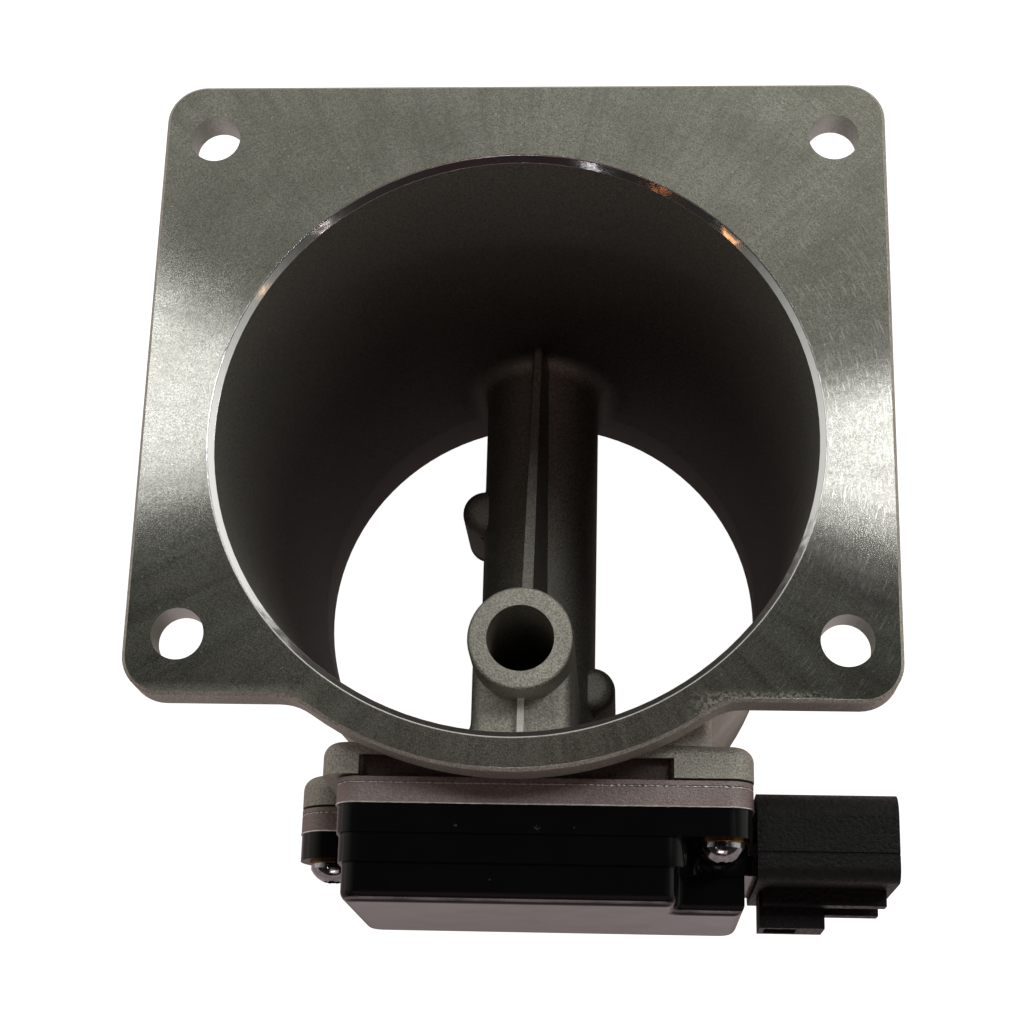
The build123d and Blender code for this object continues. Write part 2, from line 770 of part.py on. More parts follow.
def board_capacitors():
    """Row of chip capacitors."""
    centre = Pos(board_right - capacitor_inset, board_bottom + capacitor_above_bottom)
    row = centre * GridLocations(capacitor_pitch, 0, capacitor_count, 1)
    return [
        side_layer(place * Rectangle(capacitor_width, capacitor_length), board_far, capacitor_height)
        for place in row
    ]


def board_jumpers():
    """Bonded ribbons from the board's edge up to each terminal's inner end."""
    foot_x = board_right - 2 * jumper_foot
    land_x = terminal_inner_x + jumper_foot
    half = jumper_thickness / 2
    foot_y = -board_far - half
    land_y = terminal_inner_y - terminal_thickness / 2 - half
    crest_y = land_y - jumper_rise
    spine = Polyline(
        (foot_x, foot_y),
        (foot_x + jumper_foot, foot_y),
        (foot_x + 2 * jumper_foot, crest_y),
        (land_x - jumper_foot / 2, crest_y),
        (land_x + jumper_foot / 2, land_y),
        (land_x + 3 * jumper_foot / 2, land_y),
    )
    ribbon = trace(spine, jumper_thickness)
    ribbons = []
    for index in range(terminal_count):
        z = connector_centre_z + (index - (terminal_count - 1) / 2) * terminal_pitch
        ribbons.append(Pos(0, 0, z) * extrude(ribbon, jumper_width / 2, both=True))
    return ribbons


def sensor_stem():
    """Plug that carries the prongs through the duct wall to the sampling tube."""
    stem = side_pin(bridge_offset_x, stem_z, stem_tip, base_far, stem_dia)
    stem += side_pin(bridge_offset_x, stem_z, base_far - stem_flange_thickness, base_far, stem_flange_dia)
    groove_near = ring_groove_at - ring_groove_width / 2
    groove_far = ring_groove_at + ring_groove_width / 2
    stem -= side_pin(bridge_offset_x, stem_z, groove_near, groove_far, stem_dia + 1) - side_pin(
        bridge_offset_x, stem_z, groove_near, groove_far, ring_groove_dia
    )
    for x, z in prong_sites:
        stem -= side_pin(x, z, stem_tip, base_far, prong_dia)
    return stem


def stem_ring():
    """O-ring that seals the stem in its bore."""
    section_dia = stem_dia / 2 + stem_bore_gap - ring_groove_dia / 2 - fit_gap
    ring = Torus(ring_groove_dia / 2 + (section_dia + fit_gap) / 2, section_dia / 2)
    return Pos(bridge_offset_x, -ring_groove_at, stem_z) * Rot(90, 0, 0) * ring


def element_prong(index):
    """Stiff wire from the board, through the stem, to the end of one element."""
    x, z = prong_sites[index]
    return side_pin(x, z, prong_tip, board_far + prong_stand, prong_dia)


def element(row):
    """Small coated rod with a welding cap on each of its two prongs."""
    z = prong_sites[2 * row][1]
    y = -prong_tip + element_cap / 2
    rod = Pos(bridge_offset_x, y, z) * Rot(0, 90, 0) * Cylinder(element_dia / 2, prong_spacing_x)
    for side in (-1, 1):
        cap = Box(element_cap, element_cap, element_cap)
        rod += Pos(bridge_offset_x + side * prong_spacing_x / 2, y, z) * cap
    return rod


def bypass_cover():
    """Plate that closes the bypass channel, with its outlet slot and two screw ears."""
    plate_from = channel_start_y - channel_width / 3
    plate_to = channel_end_y + cover_plate_end_gap
    length = plate_to - plate_from
    outline = Pos(bridge_offset_x, plate_from + length / 2) * RectangleRounded(bar_width, length, 2)
    for x, y in boss_sites:
        outline += Pos(x, y) * Circle(boss_dia / 2)
        outline -= Pos(x, y) * Circle(cover_screw_dia / 2 + cover_ear_gap)
    slot_y = channel_end_y - cover_slot_inset - cover_slot_length / 2
    outline -= Pos(bridge_offset_x, slot_y) * RectangleRounded(cover_slot_width, cover_slot_length, 1.5)
    return extrude(Pos(0, 0, cover_plate_bottom_z) * outline, cover_plate_thickness)


def bypass_cover_screws():
    """Two short screws, put in from the outlet side."""
    screws = []
    for x, y in boss_sites:
        seat = Pos(x, y, cover_plate_bottom_z)
        shank = seat * Cylinder(cover_screw_dia / 2, cover_screw_length, align=LOW)
        head = seat * Cylinder(cover_screw_head_dia / 2, cover_screw_head_height, align=HIGH)
        head = fillet(head.edges().sort_by(Axis.Z)[0], cover_screw_round)
        slot = Pos(x, y, cover_plate_bottom_z - cover_screw_head_height) * Box(
            cover_screw_head_dia, cover_screw_slot, 2 * cover_screw_slot
        )
        screws.append(shank + head - slot)
    return screws


def write(name, shape):
    """One STEP file for each sub-part; a list becomes a group of separate solids."""
    if isinstance(shape, list):
        shape = Compound(children=[solid for item in shape for solid in item.solids()])
    shape.label = name
    export_step(shape, f"parts/{name}.step")


os.makedirs("parts", exist_ok=True)
write("main_casting", main_casting())
write("base_gasket", base_gasket())
write("module_base", module_base())
write("housing_seal", housing_seal())
write("module_housing", module_housing())
write("housing_cover", housing_cover())
write("compression_sleeves", compression_sleeves())
write("module_screws", module_screws())
write("circuit_board", circuit_board())
write("control_chip", control_chip())
write("driver_transistor", driver_transistor())
write("board_capacitors", board_capacitors())
write("board_jumpers", board_jumpers())
write("sensor_stem", sensor_stem())
write("stem_ring", stem_ring())
write("hot_wire_element", element(0))
write("air_temperature_element", element(1))
write("bypass_cover", bypass_cover())
write("bypass_cover_screws", bypass_cover_screws())
for number in range(terminal_count):
    write(f"terminal_{number + 1}", terminal(number))
for number in range(len(prong_sites)):
    write(f"element_prong_{number + 1}", element_prong(number))
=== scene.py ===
# %% [markdown]
# A mass airflow sensor sits in a car's intake pipe and measures the air that goes to the engine. It is
# an aluminium duct with a black plastic module on its side. The metal and plastic shapes come from the
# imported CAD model, so this lesson is about finishes, a few fine pieces that only the eye needs, and
# the light that shows them.

# %% Load the frame
from functools import partial

import bpy
import numpy as np
from mathutils import Matrix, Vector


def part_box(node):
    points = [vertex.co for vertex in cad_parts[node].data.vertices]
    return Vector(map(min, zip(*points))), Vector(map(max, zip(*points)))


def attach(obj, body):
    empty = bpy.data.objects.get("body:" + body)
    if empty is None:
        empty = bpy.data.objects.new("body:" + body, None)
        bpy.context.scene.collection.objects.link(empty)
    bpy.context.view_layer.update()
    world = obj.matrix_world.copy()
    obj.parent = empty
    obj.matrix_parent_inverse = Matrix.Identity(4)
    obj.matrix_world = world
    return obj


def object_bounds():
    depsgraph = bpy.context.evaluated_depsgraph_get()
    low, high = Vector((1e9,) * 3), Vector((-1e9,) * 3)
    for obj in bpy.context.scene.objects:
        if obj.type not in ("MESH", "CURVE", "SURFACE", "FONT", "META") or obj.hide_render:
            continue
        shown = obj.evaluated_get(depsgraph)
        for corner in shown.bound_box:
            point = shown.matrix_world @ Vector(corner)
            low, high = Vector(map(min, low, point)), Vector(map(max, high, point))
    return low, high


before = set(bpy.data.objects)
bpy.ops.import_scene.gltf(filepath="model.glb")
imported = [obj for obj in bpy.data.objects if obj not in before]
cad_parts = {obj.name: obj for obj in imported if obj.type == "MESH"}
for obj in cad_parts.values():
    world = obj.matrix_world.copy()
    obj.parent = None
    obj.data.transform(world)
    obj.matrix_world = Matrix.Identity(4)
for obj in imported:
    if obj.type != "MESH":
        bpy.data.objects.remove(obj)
scene = bpy.context.scene
cad_box = [list(corner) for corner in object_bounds()]
MM = 0.001
print("CAD box in mm", [[round(v / MM, 1) for v in corner] for corner in cad_box])

# %% [markdown]
# A painter picks colours on a screen as hex values, but light is added up in linear values, so one
# function turns one into the other. Every finish is a small network of nodes, and one short function
# adds a node, fills in its sockets and hands back the output that the next node needs.

# %% Colour, node and material helpers
def linear(hex_colour):
    """Turns an sRGB hex value to linear red, green, blue and full alpha, by the sRGB curve."""
    srgb = np.array([int(hex_colour[i:i + 2], 16) for i in (1, 3, 5)]) / 255
    low, high = srgb / 12.92, ((srgb + 0.055) / 1.055) ** 2.4
    return (*np.where(srgb <= 0.04045, low, high).tolist(), 1.0)


def add(tree, kind, inputs=(), out=0, **settings):
    """Adds one node and returns its output.

    Settings are the node's properties. Inputs are values or sockets to link, listed in the node's
    own order, or in a dictionary by socket name or number. With out=None the node itself comes back.
    """
    node = tree.nodes.new("ShaderNode" + kind)
    for name, value in settings.items():
        setattr(node, name, value)
    for name, value in (inputs if isinstance(inputs, dict) else dict(enumerate(inputs))).items():
        if isinstance(value, bpy.types.NodeSocket):
            tree.links.new(value, node.inputs[name])
        else:
            node.inputs[name].default_value = value
    return node if out is None else node.outputs[out]


def start_material(name):
    """Makes a material with an empty tree, and returns it with its own add and its object position."""
    material = bpy.data.materials.new(name)
    material.use_nodes = True
    material.node_tree.nodes.clear()
    node = partial(add, material.node_tree)
    return material, node, node("TexCoord", out="Object")


print("mid grey is", [round(v, 3) for v in linear("#808080")])

# %% [markdown]
# Before painting, it helps to know where things are. The flange's face is the highest plane of the
# casting, and the bore narrows evenly from the mouth to the outlet, so one straight line gives the
# wall's radius at each height. The four stud holes stand on the corners of a rectangle, and a thin
# rib runs along the top of the pillar that carries the sampling tube.

# %% Places on the casting
FACE_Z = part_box("main_casting")[1][2]
MOUTH_RADIUS, OUTLET_RADIUS = 45.0 * MM, 40.6 * MM
PILLAR_RIB_X, PILLAR_RIB_Z = 0.3 * MM, 79.2 * MM
TAPER = (MOUTH_RADIUS - OUTLET_RADIUS) / FACE_Z
HOLE_X, HOLE_MID_Y, HOLE_HALF_Y, HOLE_RADIUS = 48.1 * MM, 8.75 * MM, 40.05 * MM, 3.85 * MM
print("flange face at", round(FACE_Z / MM, 2), "mm, bore narrows by", round(TAPER, 4), "per mm")

# %% [markdown]
# The duct is one die casting with three finishes. It is shot blasted all over: grit a few tenths of a
# millimetre wide leaves an even satin grey with fine pits. Then a lathe takes one cut across the
# flange, and last comes a small mirror-bright chamfer at the mouth. One material picks the finish by
# place, because they are on one casting. A metal's colour is its mirror's tint, so all three stay
# pale and the room darkens them. Nodes that only do sums are kept on one line each.

# %% Start the casting's material
cast, node, place = start_material("shot_blasted_die_cast_aluminium")
x, y, z = node("SeparateXYZ", (place,), out=None).outputs
radius = node("VectorMath", (node("CombineXYZ", (x, y)),), out="Value", operation="LENGTH")
print("started", cast.name)

# %% [markdown]
# A mask is 1 where a finish lies and 0 elsewhere. Map Range makes one out of a distance, with a short
# slope so that its edge is not jagged. The chamfer is where the mouth's radius and the top meet. The
# turned face is the top without the chamfer, and dust lies on the bore's wall.

# %% Masks for the chamfer, the turned face and the wall
CHAMFER, SOFT = 0.9 * MM, 0.1 * MM
face = node("MapRange", (z, FACE_Z - 0.06 * MM, FACE_Z - 0.02 * MM, 0.0, 1.0))
by_mouth = node("MapRange", (radius, MOUTH_RADIUS + CHAMFER + SOFT, MOUTH_RADIUS + CHAMFER, 0.0, 1.0))
by_top = node("MapRange", (z, FACE_Z - CHAMFER - SOFT, FACE_Z - CHAMFER, 0.0, 1.0))
chamfer = node("Math", (by_mouth, by_top), operation="MULTIPLY")
uncut = node("Math", (1.0, chamfer), operation="SUBTRACT")
turned = node("Math", (face, uncut), operation="MULTIPLY")
wall = node("Math", (z, TAPER, OUTLET_RADIUS), operation="MULTIPLY_ADD")
off_wall = node("Math", (node("Math", (radius, wall), operation="SUBTRACT"),), operation="ABSOLUTE")
on_wall = node("MapRange", (off_wall, 1.5 * MM, 0.1 * MM, 0.0, 1.0))
on_wall = node("Math", (on_wall, uncut), operation="MULTIPLY")
inside = node("MapRange", (radius, MOUTH_RADIUS + 1.0 * MM, MOUTH_RADIUS, 0.0, 1.0))
print("mouth's chamfer", round(CHAMFER / MM, 2), "mm")

# %% [markdown]
# The four stud holes are drilled, so their walls are smoother than the skin round them. Absolute
# values fold the flange in four, and then one distance serves all four holes.

# %% Mask for the drilled holes
hole_x = node("Math", (node("Math", (x,), operation="ABSOLUTE"), HOLE_X), operation="SUBTRACT")
from_mid = node("Math", (node("Math", (y, HOLE_MID_Y), operation="SUBTRACT"),), operation="ABSOLUTE")
hole_y = node("Math", (from_mid, HOLE_HALF_Y), operation="SUBTRACT")
to_hole = node("VectorMath", (node("CombineXYZ", (hole_x, hole_y)),), out="Value", operation="LENGTH")
drilled = node("MapRange", (to_hole, HOLE_RADIUS + 0.25 * MM, HOLE_RADIUS + 0.15 * MM, 0.0, 1.0))
drilled = node("Math", (drilled, node("Math", (1.0, face), operation="SUBTRACT")), operation="MULTIPLY")
print("holes of", round(2 * HOLE_RADIUS / MM, 2), "mm")

# %% [markdown]
# Blasting leaves pits as wide as the grit, which look dark where they are deep, on a coarser
# unevenness. Cloudy changes in tone come from the die, which is not equally hot all over.

# %% Blasted skin
GRIT = 0.3 * MM
pits = node("TexNoise", {"Vector": place, "Scale": 1 / GRIT, "Detail": 3.0, "Roughness": 0.7})
coarse = node("TexNoise", {"Vector": place, "Scale": 1 / (3 * GRIT), "Detail": 3.0})
clouds = node("TexNoise", {"Vector": place, "Scale": 1 / (14 * MM), "Detail": 3.0})
pit_share = node("MapRange", (pits, 0.36, 0.64, 0.0, 1.0))
blasted = node("Mix", {0: pit_share, 6: linear("#8f8e85"), 7: linear("#dddcd1")}, out=2, data_type="RGBA")
cloud_share = node("MapRange", (clouds, 0.3, 0.7, 0.0, 0.5))
blasted = node("Mix", {0: cloud_share, 6: blasted, 7: linear("#92918a")}, out=2, data_type="RGBA")
print("pits", round(GRIT / MM, 2), "mm wide")

# %% [markdown]
# The air carries dust into the duct, which darkens the pits of the wall. The wall and everything inside
# are also painted darker with depth: painted shade. The crest of the crossbar's rib is kept out of
# that painted shade, most of all near the sampling tube, so it stands out as a painted highlight.

# %% Dust and painted shade inside the duct
RIB_X, RIB_FOOT_Z, RIB_CREST_Z = -1.4 * MM, 36.4 * MM, 38.5 * MM
RIB_NEAR_Y, RIB_FAR_Y = -22.0 * MM, 14.0 * MM
# Painted shade: the wall's colour darkens with depth, from the mouth down to 55 mm.
wall_depth_shade = node("MapRange", (z, 55 * MM, 104 * MM, 0.0, 1.0))
dust_and_depth_shade = node("Mix", {0: wall_depth_shade, 6: linear("#86857d"), 7: linear("#c1bfb7")}, out=2, data_type="RGBA")
dust_share = node("MapRange", (pits, 0.36, 0.64, 0.0, 0.6))
dust_and_depth_shade = node("Mix", {0: dust_share, 6: dust_and_depth_shade, 7: linear("#444440")}, out=2, data_type="RGBA")
blasted = node("Mix", {0: on_wall, 6: blasted, 7: dust_and_depth_shade}, out=2, data_type="RGBA")
# Painted shade: everything inside the bore darkens from 80 mm down to 45 mm, towards near black.
painted_duct_shade = node("MapRange", (z, 80 * MM, 45 * MM, 0.0, 0.24))
painted_duct_shade = node("Math", (painted_duct_shade, inside), operation="MULTIPLY")
# Painted highlight: the rib's crest is kept out of that painted shade, most near the sampling tube.
off_rib = node("Math", (node("Math", (x, RIB_X), operation="SUBTRACT"),), operation="ABSOLUTE")
painted_crest_highlight = node("MapRange", (off_rib, 1.6 * MM, 1.0 * MM, 0.0, 0.9))
for slope in ((z, RIB_FOOT_Z, RIB_CREST_Z, 0.0, 1.0), (y, RIB_NEAR_Y, RIB_FAR_Y, 1.0, 0.1)):
    painted_crest_highlight = node("Math", (painted_crest_highlight, node("MapRange", slope)), operation="MULTIPLY")
painted_duct_shade = node("Math", (painted_duct_shade, node("Math", (1.0, painted_crest_highlight), operation="SUBTRACT")), operation="MULTIPLY")
blasted = node("Mix", {0: painted_duct_shade, 6: blasted, 7: linear("#141210")}, out=2, data_type="RGBA")
print("rib's crest starts at", round(RIB_FOOT_Z / MM, 1), "mm")

# %% [markdown]
# The thin rib on top of the pillar gets a painted highlight, near white beside the skin. The shallow
# recess behind the module's base gets painted shade, a dark reddish sheet. Each mask is a box: one
# slope for each of its sides, all multiplied.

# %% Painted highlight on the pillar's rib, painted shade in the recess
off_line = node("Math", (node("Math", (x, PILLAR_RIB_X), operation="SUBTRACT"),), operation="ABSOLUTE")
off_top = node("Math", (node("Math", (z, PILLAR_RIB_Z), operation="SUBTRACT"),), operation="ABSOLUTE")
# Painted highlight: a near-white stripe along the top of the pillar's rib.
painted_rib_highlight = node("MapRange", (off_line, 0.62 * MM, 0.5 * MM, 0.0, 0.8))
RIB_SIDES_MM = ((off_top, 0.6, 0.4), (y, -31, -32))
for axis, outer, inner in RIB_SIDES_MM:
    side = node("MapRange", (axis, outer * MM, inner * MM, 0.0, 1.0))
    painted_rib_highlight = node("Math", (painted_rib_highlight, side), operation="MULTIPLY")
painted_rib_highlight = node("Math", (painted_rib_highlight, inside), operation="MULTIPLY")
blasted = node("Mix", {0: painted_rib_highlight, 6: blasted, 7: linear("#fafaf6")}, out=2, data_type="RGBA")

# Painted shade: a dark reddish sheet on the recess behind the module's base.
painted_recess_shade = node("MapRange", (y, -46.5 * MM, -46.9 * MM, 0.0, 0.85))
RECESS_SIDES_MM = ((z, 100.7, 98.9), (z, 98.3, 98.4), (x, -22.0, -21.2), (x, 23.8, 23.2))
for axis, outer, inner in RECESS_SIDES_MM:
    side = node("MapRange", (axis, outer * MM, inner * MM, 0.0, 1.0))
    painted_recess_shade = node("Math", (painted_recess_shade, side), operation="MULTIPLY")
blasted = node("Mix", {0: painted_recess_shade, 6: blasted, 7: linear("#3c2629")}, out=2, data_type="RGBA")
print("nodes so far", len(cast.node_tree.nodes))

# %% [markdown]
# Lathe lines run round the bore. x and y over the radius turn with the angle, so a noise fed with
# those two and the radius is drawn out round the bore, in dashes 3 mm long and 0.3 mm apart. Real
# lathe lines are finer, but would not show. Finer steps round the bore and one long step outwards
# turn the same noise into radial chatter marks.

# %% Lathe lines and chatter marks
LINE_GAP, CHATTER_LENGTH = 0.3 * MM, 24 * MM
round_x = node("Math", (x, radius), operation="DIVIDE")
round_y = node("Math", (y, radius), operation="DIVIDE")
polar = node("CombineXYZ", (round_x, round_y, radius))
along = node("VectorMath", (polar, (18.0, 18.0, 1 / LINE_GAP)), operation="MULTIPLY")
lines = node("TexNoise", {"Vector": along, "Scale": 1.0, "Detail": 3.0})
across = node("VectorMath", (polar, (34.0, 34.0, 1 / CHATTER_LENGTH)), operation="MULTIPLY")
chatter = node("TexNoise", {"Vector": across, "Scale": 1.0, "Detail": 2.0})
print("lathe lines", round(LINE_GAP / MM, 2), "mm apart")

# %% [markdown]
# The turned face looks sandy, because the cut is so shallow that pits are left in it. Over that lie
# the faint lines, the stains of hands and coolant, and the chatter marks.

# %% Turned face
sand = node("TexNoise", {"Vector": place, "Scale": 1 / (0.19 * MM), "Detail": 2.0, "Roughness": 0.75})
sand_share = node("MapRange", (sand, 0.36, 0.64, 0.0, 1.0))
cut = node("Mix", {0: sand_share, 6: linear("#8f8f87"), 7: linear("#d8d8d2")}, out=2, data_type="RGBA")
stains = node("TexNoise", {"Vector": place, "Scale": 1 / (11 * MM), "Detail": 5.0, "Roughness": 0.6})
LAYERS = ((lines, 0.45, 0.66, "#d0d0cb"), (stains, 0.4, 0.62, "#86837a"), (chatter, 0.5, 0.68, "#9c9c96"))
for pattern, start, full, hex_colour in LAYERS:
    share = node("MapRange", (pattern, start, full, 0.0, 0.3))
    cut = node("Mix", {0: share, 6: cut, 7: linear(hex_colour)}, out=2, data_type="RGBA")
print("layers on the cut", len(LAYERS))

# %% [markdown]
# Wear is seen on the right of the flange as bright dashes and nicks. Along the low edge, handling has
# left bright flecks on the right and a dull band on the left. A fleck is rougher than the cut, so it
# catches light from every side.

# %% Wear on the flange
dashes = node("MapRange", (lines, 0.60, 0.68, 0.0, 0.5))
for slope in ((x, 30 * MM, 42 * MM, 0.0, 1.0), (y, 36 * MM, 22 * MM, 0.25, 1.0)):
    dashes = node("Math", (dashes, node("MapRange", slope)), operation="MULTIPLY")
nick_spots = node("TexNoise", {"Vector": place, "Scale": 1 / (0.8 * MM), "Detail": 2.0})
nicks = node("MapRange", (nick_spots, 0.70, 0.76, 0.0, 0.8))

low_edge = node("MapRange", (y, -38.4 * MM, -40.4 * MM, 0.0, 1.0))
rub_left = node("MapRange", (x, -27 * MM, -33 * MM, 0.0, 1.0))
rub_left = node("Math", (low_edge, rub_left), operation="MULTIPLY")
fleck_spots = node("TexNoise", {"Vector": place, "Scale": 1 / (0.6 * MM), "Detail": 6.0, "Roughness": 0.75})
flecks = node("Math", (node("MapRange", (fleck_spots, 0.45, 0.56, 0.0, 1.0)), low_edge), operation="MULTIPLY")
FLECK_ENDS_MM = ((25, 31), (47, 43))
for outer, inner in FLECK_ENDS_MM:
    side = node("MapRange", (x, outer * MM, inner * MM, 0.0, 1.0))
    flecks = node("Math", (flecks, side), operation="MULTIPLY")
worn = node("Math", (node("Math", (dashes, nicks), operation="MAXIMUM"), flecks), operation="MAXIMUM")
cut = node("Mix", {0: worn, 6: cut, 7: linear("#f4f4f1")}, out=2, data_type="RGBA")
print("nodes so far", len(cast.node_tree.nodes))

# %% [markdown]
# Now the masks put the finishes together, first the colours and then the roughness. The blasted skin
# is matt, the cut is smooth, the drilled holes lie between, and the chamfer is close to a mirror.

# %% Colour and roughness by place
colour = node("Mix", {0: turned, 6: blasted, 7: cut}, out=2, data_type="RGBA")
scuffed = node("Math", (rub_left, 0.5), operation="MULTIPLY")
scuffed = node("Math", (flecks, scuffed), operation="MAXIMUM")
rough_skin = node("MapRange", (pits, 0.3, 0.7, 0.5, 0.64))
rough_cut = node("MapRange", (chatter, 0.3, 0.7, 0.18, 0.225))
rough_cut = node("Mix", {0: scuffed, 2: rough_cut, 3: 0.5})
rough = node("Mix", {0: turned, 2: rough_skin, 3: rough_cut})
for mask, hex_colour, roughness in ((chamfer, "#eeeef2", 0.1), (drilled, "#c6ccc6", 0.34)):
    colour = node("Mix", {0: mask, 6: colour, 7: linear(hex_colour)}, out=2, data_type="RGBA")
    rough = node("Mix", {0: mask, 2: rough, 3: roughness})
print("nodes so far", len(cast.node_tree.nodes))

# %% [markdown]
# The pits are real relief in the skin. There is none on the cut, since even the least would break up
# its fans of light, and a slight wave makes the chamfer's reflections uneven. The lathe lines are too
# fine to see, but they spread a lamp's reflection into a fan, like the light on a record. So the
# shader is anisotropic there, with a tangent that points away from the bore.

# %% Relief and shader of the casting
skin = node("Math", (coarse, 0.6), operation="MULTIPLY")
skin = node("Math", (node("MapRange", (pits, 0.2, 0.8, 0.0, 0.4)), skin), operation="ADD")
height = node("Mix", {0: turned, 2: skin, 3: 0.5})
wave = node("TexNoise", {"Vector": place, "Scale": 1 / (2.2 * MM), "Detail": 1.0})
height = node("Mix", {0: chamfer, 2: height, 3: node("Math", (wave, 0.12), operation="MULTIPLY")})
relief = node("Bump", {"Height": height, "Distance": 0.22 * MM})
shader = node("BsdfPrincipled", {"Base Color": colour, "Roughness": rough, "Metallic": 1.0, "Normal": relief,
                                 "Anisotropic": turned, "Tangent": node("CombineXYZ", (round_x, round_y))})
node("OutputMaterial", (shader,), out=None)
print("nodes in the casting's finish", len(cast.node_tree.nodes))

# %% [markdown]
# The module's base plate is a second, smaller casting. It is tumbled with fine stones after casting,
# which leaves a tighter, more even grain than blasting does, and polishes the thin edges bright.

# %% Cast aluminium of the module's base
base, node, place = start_material("tumbled_die_cast_aluminium")
grain = node("TexNoise", {"Vector": place, "Scale": 1 / (0.26 * MM), "Detail": 3.0, "Roughness": 0.65})
clouds = node("TexNoise", {"Vector": place, "Scale": 1 / (9 * MM), "Detail": 3.0})
grain_share = node("MapRange", (grain, 0.34, 0.66, 0.0, 1.0))
colour = node("Mix", {0: grain_share, 6: linear("#7f7473"), 7: linear("#aca09e")}, out=2, data_type="RGBA")
cloud_share = node("MapRange", (clouds, 0.35, 0.7, 0.0, 0.4))
colour = node("Mix", {0: cloud_share, 6: colour, 7: linear("#776c6b")}, out=2, data_type="RGBA")
rough = node("MapRange", (grain, 0.3, 0.7, 0.42, 0.56))
relief = node("Bump", {"Height": grain, "Distance": 0.09 * MM})
shader = node("BsdfPrincipled", {"Base Color": colour, "Roughness": rough, "Metallic": 1.0, "Normal": relief})
node("OutputMaterial", (shader,), out=None)
print("made", base.name)

# %% [markdown]
# The housing is glass-filled polyester, moulded in a polished tool, so its walls are glossy black
# with a few specks of dust. The walls are not quite flat, because plastic shrinks as it cools, and a
# slow bump bends the reflections as it does on the real one. Housing and lid share the plastic's one
# refractive index and specular level, and so they share these two functions.

# %% Polished black polyester
def polished_polyester(name):
    """Starts the plastic: its slow waves 6 mm long and a mask of fine specks, 6.5 mm apart."""
    material, node, place = start_material(name)
    slow = node("TexNoise", {"Vector": place, "Scale": 1 / (6 * MM), "Detail": 2.0})
    dots = node("TexVoronoi", {"Vector": place, "Scale": 1 / (6.5 * MM)}, out="Distance")
    specks = node("MapRange", (dots, 0.03, 0.018, 0.0, 0.7))
    return material, node, place, slow, specks


def marked_gloss(node, slow, marks):
    """Colour, roughness and height of the polished wall. Marks are greyed and roughened."""
    colour = node("Mix", {0: marks, 6: linear("#101012"), 7: linear("#5a5a58")}, out=2, data_type="RGBA")
    rough = node("MapRange", (slow, 0.3, 0.7, 0.11, 0.17))
    rough = node("Math", (marks, 0.3, rough), operation="MULTIPLY_ADD")
    return colour, rough, node("Math", (slow, 0.3), operation="MULTIPLY")


POLYESTER = {"IOR": 1.57, "Specular IOR Level": 0.2}
RELIEF = 0.05 * MM
print("polyester", POLYESTER)

# %% [markdown]
# The housing has three small scuffs along its upper edge: a ball round each place, broken up by a
# fine noise. The connector comes from a spark-eroded part of the same tool. Its grain is real relief,
# and it is matt, so its base colour and roughness carry the difference.

# %% Housing with its connector
SCUFFS = ((-7.5, -57.2, 100.3, 0.35), (4.2, -57.3, 100.3, 0.5), (9.6, -57.2, 100.3, 0.25))
CONNECTOR_X = 35.2 * MM
housing, node, place, slow, marks = polished_polyester("moulded_black_polyester")
ragged = node("TexNoise", {"Vector": place, "Scale": 1 / (0.25 * MM), "Detail": 2.0})
ragged = node("MapRange", (ragged, 0.5, 0.62, 0.0, 1.0))
for *centre, size in SCUFFS:
    away = node("VectorMath", (place, [part * MM for part in centre]), out="Value", operation="DISTANCE")
    spot = node("MapRange", (away, size * MM, 0.1 * MM, 0.0, 1.0))
    marks = node("Math", (marks, node("Math", (spot, ragged), operation="MULTIPLY")), operation="MAXIMUM")
colour, rough, height = marked_gloss(node, slow, marks)

matt = node("MapRange", (node("SeparateXYZ", (place,)), CONNECTOR_X, CONNECTOR_X + 0.3 * MM, 0.0, 1.0))
grain = node("TexNoise", {"Vector": place, "Scale": 1 / (0.55 * MM), "Detail": 4.0, "Roughness": 0.6})
grain_share = node("MapRange", (grain, 0.38, 0.62, 0.0, 1.0))
eroded = node("Mix", {0: grain_share, 6: linear("#030303"), 7: linear("#101010")}, out=2, data_type="RGBA")
colour = node("Mix", {0: matt, 6: colour, 7: eroded}, out=2, data_type="RGBA")
rough = node("Mix", {0: matt, 2: rough, 3: node("MapRange", (grain, 0.34, 0.66, 0.3, 0.7))})
height = node("Mix", {0: matt, 2: height, 3: node("Math", (grain, 4.5), operation="MULTIPLY")})
relief = node("Bump", {"Height": height, "Distance": RELIEF})
shader = node("BsdfPrincipled", {"Base Color": colour, "Roughness": rough, "Normal": relief, **POLYESTER})
node("OutputMaterial", (shader,), out=None)
print("made", housing.name, "with", len(SCUFFS), "scuffs")

# %% [markdown]
# The lid's rounded edge carries a painted highlight, a lighter and rougher band. There the surface
# leans between two flat walls, so the Y part of its normal finds the edge, and a noise leaves the highlight
# uneven.

# %% Lid with a painted highlight on its edge
cover, node, place, slow, marks = polished_polyester("moulded_black_polyester_cover")
colour, rough, height = marked_gloss(node, slow, marks)
lean = node("SeparateXYZ", (node("NewGeometry", out="Normal"),), out="Y")
uneven = node("TexNoise", {"Vector": place, "Scale": 1 / (5 * MM), "Detail": 4.0})
